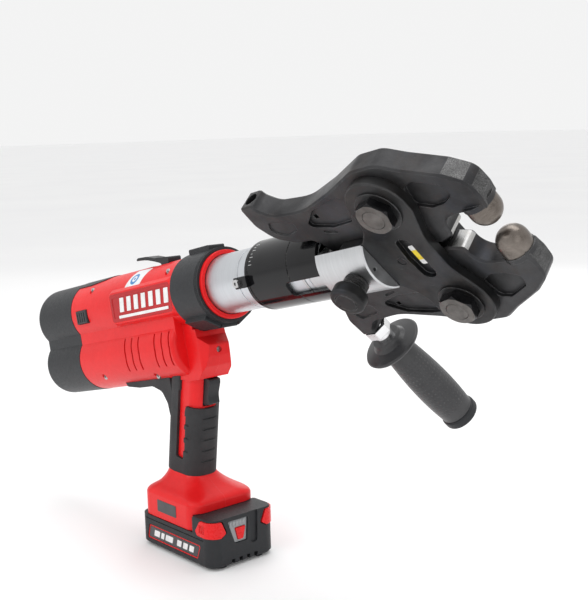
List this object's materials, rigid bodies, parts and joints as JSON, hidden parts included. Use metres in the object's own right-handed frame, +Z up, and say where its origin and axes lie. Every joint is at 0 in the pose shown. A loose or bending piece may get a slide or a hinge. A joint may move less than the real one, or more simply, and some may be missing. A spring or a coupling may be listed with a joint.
{
  "type": "battery press tool",
  "caption": "pistol-grip battery hydraulic press tool with silver press cylinder, swivelling fork head, two-armed claw for press rings, side handle and slide-on battery",
  "frame": {"origin": "centre of the battery foot, on the plane it stands on", "axes": "+X forward along the tool, +Y to its left, +Z up; the battery foot is square to Z and the barrel is tilted nose up"},
  "size_m": [0.6456, 0.2243, 0.3888],
  "materials": {
    "red_plastic": "satin",
    "dark_plastic": "fine texture",
    "rubber": "matt",
    "panel": "satin",
    "silver": "fine turned",
    "black_lacquer": "gloss",
    "black_oxide": "black oxide",
    "bright_steel": "ground",
    "chrome": "polished",
    "bronze": "machined",
    "aluminium": "cast",
    "board": "satin"
  },
  "bodies": {
    "tool": {"shell_right": "red_plastic", "shell_left": "red_plastic", "rear_cap": "dark_plastic", "front_collar": "dark_plastic", "collar_ring": "red_plastic", "grip_overmould": "rubber", "lever_mount": "bright_steel", "button_switch": "dark_plastic", "trigger_switch": "dark_plastic", "name_panels": "panel", "shell_screws": "bright_steel", "motor_can": "aluminium", "gearbox_case": "aluminium", "pump_block": "aluminium", "oil_reservoir": "rubber", "control_board": "board", "press_cylinder": "silver", "cylinder_gland": "silver", "terminal_block": "dark_plastic"},
    "rotor": {"motor_rotor": "bright_steel", "cooling_fan": "board"},
    "planet_carrier": {"planet_stage": "bright_steel"},
    "pump_drive": {"pump_gear": "bright_steel"},
    "plunger": {"pump_plunger": "bright_steel"},
    "press_head": {"fork_head": "silver", "black_sleeve": "black_lacquer", "sleeve_clamp": "bright_steel", "clamp_screw": "bright_steel", "head_ring": "bright_steel", "side_plate_right": "black_oxide", "side_plate_left": "black_oxide", "plate_spacer": "black_oxide", "pivot_bolt_upper": "black_oxide", "pivot_bolt_lower": "black_oxide", "pivot_nuts": "black_oxide", "pivot_washers": "black_oxide"},
    "ram_body": {"ram": "silver", "piston_seal": "rubber", "roller_axles": "bright_steel", "ram_spring": "bright_steel"},
    "roller_up": {"roller_upper": "bright_steel"},
    "roller_low": {"roller_lower": "bright_steel"},
    "pin": {"attachment_pin": "black_oxide"},
    "arm_up": {"upper_arm": "black_oxide", "arm_bush_upper": "bronze"},
    "arm_low": {"lower_arm": "black_oxide", "arm_bush_lower": "bronze", "handle_stud": "chrome", "side_grip": "dark_plastic", "handle_cap": "dark_plastic"},
    "trigger_body": {"trigger": "dark_plastic"},
    "lever": {"release_lever": "dark_plastic"},
    "button": {"side_button": "dark_plastic"},
    "battery": {"battery_case": "dark_plastic", "battery_rail": "dark_plastic", "battery_cells": "bright_steel", "battery_gauge": "dark_plastic"},
    "latch_right": {"battery_latch_right": "red_plastic"},
    "latch_left": {"battery_latch_left": "red_plastic"},
    "charge_button": {"gauge_button": "red_plastic"}
  },
  "joints": [
    {"name": "head_swivel", "type": "hinge", "parent": "tool", "child": "press_head", "pos_m": [0.14644, 0, 0.28647], "axis": [0.9763, 0, 0.2164], "range_deg": [-180, 180]},
    {"name": "motor_spin", "type": "hinge", "parent": "tool", "child": "rotor", "pos_m": [-0.18444, 0, 0.1619], "axis": [0.9763, 0, 0.2164], "continuous": true},
    {"name": "carrier_spin", "type": "hinge", "parent": "tool", "child": "planet_carrier", "pos_m": [-0.10633, 0, 0.17921], "axis": [0.9763, 0, 0.2164], "continuous": true},
    {"name": "pump_spin", "type": "hinge", "parent": "tool", "child": "pump_drive", "pos_m": [-0.08147, 0, 0.21955], "axis": [0.9763, 0, 0.2164], "continuous": true},
    {"name": "plunger_stroke", "type": "slide", "parent": "tool", "child": "plunger", "axis": [-0.2164, 0, 0.9763], "range_m": [0, 0.003], "stiffness_N_per_m": 300},
    {"name": "ram_stroke", "type": "slide", "parent": "press_head", "child": "ram_body", "axis": [0.9763, 0, 0.2164], "range_m": [0, 0.021]},
    {"name": "roller_upper_spin", "type": "hinge", "parent": "ram_body", "child": "roller_up", "pos_m": [0.19787, -0.00568, 0.304], "axis": [-0.149, 0.7254, 0.672], "continuous": true},
    {"name": "roller_lower_spin", "type": "hinge", "parent": "ram_body", "child": "roller_low", "pos_m": [0.20046, 0.00568, 0.29231], "axis": [-0.149, 0.7254, 0.672], "continuous": true},
    {"name": "upper_arm_pivot", "type": "hinge", "parent": "press_head", "child": "arm_up", "pos_m": [0.28871, -0.03545, 0.35627], "axis": [-0.149, 0.7254, 0.672], "range_deg": [0, 4]},
    {"name": "lower_arm_pivot", "type": "hinge", "parent": "press_head", "child": "arm_low", "pos_m": [0.30488, 0.03545, 0.28333], "axis": [0.149, -0.7254, -0.672], "range_deg": [0, 4]},
    {"name": "pin_pull", "type": "slide", "parent": "press_head", "child": "pin", "axis": [0.149, -0.7254, -0.672], "range_m": [0, 0.03]},
    {"name": "trigger_pull", "type": "slide", "parent": "tool", "child": "trigger_body", "axis": [-0.991, 0, 0.134], "range_m": [0, 0.0045], "stiffness_N_per_m": 900},
    {"name": "lever_press", "type": "hinge", "parent": "tool", "child": "lever", "pos_m": [-0.0385, 0, 0.27056], "axis": [0, -1, 0], "range_deg": [0, 7], "stiffness_Nm_per_rad": 1.2},
    {"name": "button_press", "type": "slide", "parent": "tool", "child": "button", "axis": [0, 1, 0], "range_m": [0, 0.0012], "stiffness_N_per_m": 800},
    {"name": "battery_slide", "type": "slide", "parent": "tool", "child": "battery", "axis": [1, 0, 0], "range_m": [0, 0.09]},
    {"name": "latch_right_press", "type": "slide", "parent": "battery", "child": "latch_right", "axis": [0, 1, 0], "range_m": [0, 0.0012], "stiffness_N_per_m": 800},
    {"name": "latch_left_press", "type": "slide", "parent": "battery", "child": "latch_left", "axis": [0, -1, 0], "range_m": [0, 0.0012], "stiffness_N_per_m": 800},
    {"name": "charge_button_press", "type": "slide", "parent": "battery", "child": "charge_button", "axis": [-1, 0, 0], "range_m": [0, 0.001], "stiffness_N_per_m": 600}
  ],
  "couplings": [
    {"joint": "upper_arm_pivot", "follows": "ram_stroke", "rad_per_m": 3.32},
    {"joint": "lower_arm_pivot", "follows": "ram_stroke", "rad_per_m": 3.32},
    {"joint": "carrier_spin", "follows": "motor_spin", "ratio": 0.2},
    {"joint": "pump_spin", "follows": "motor_spin", "ratio": -0.1}
  ]
}
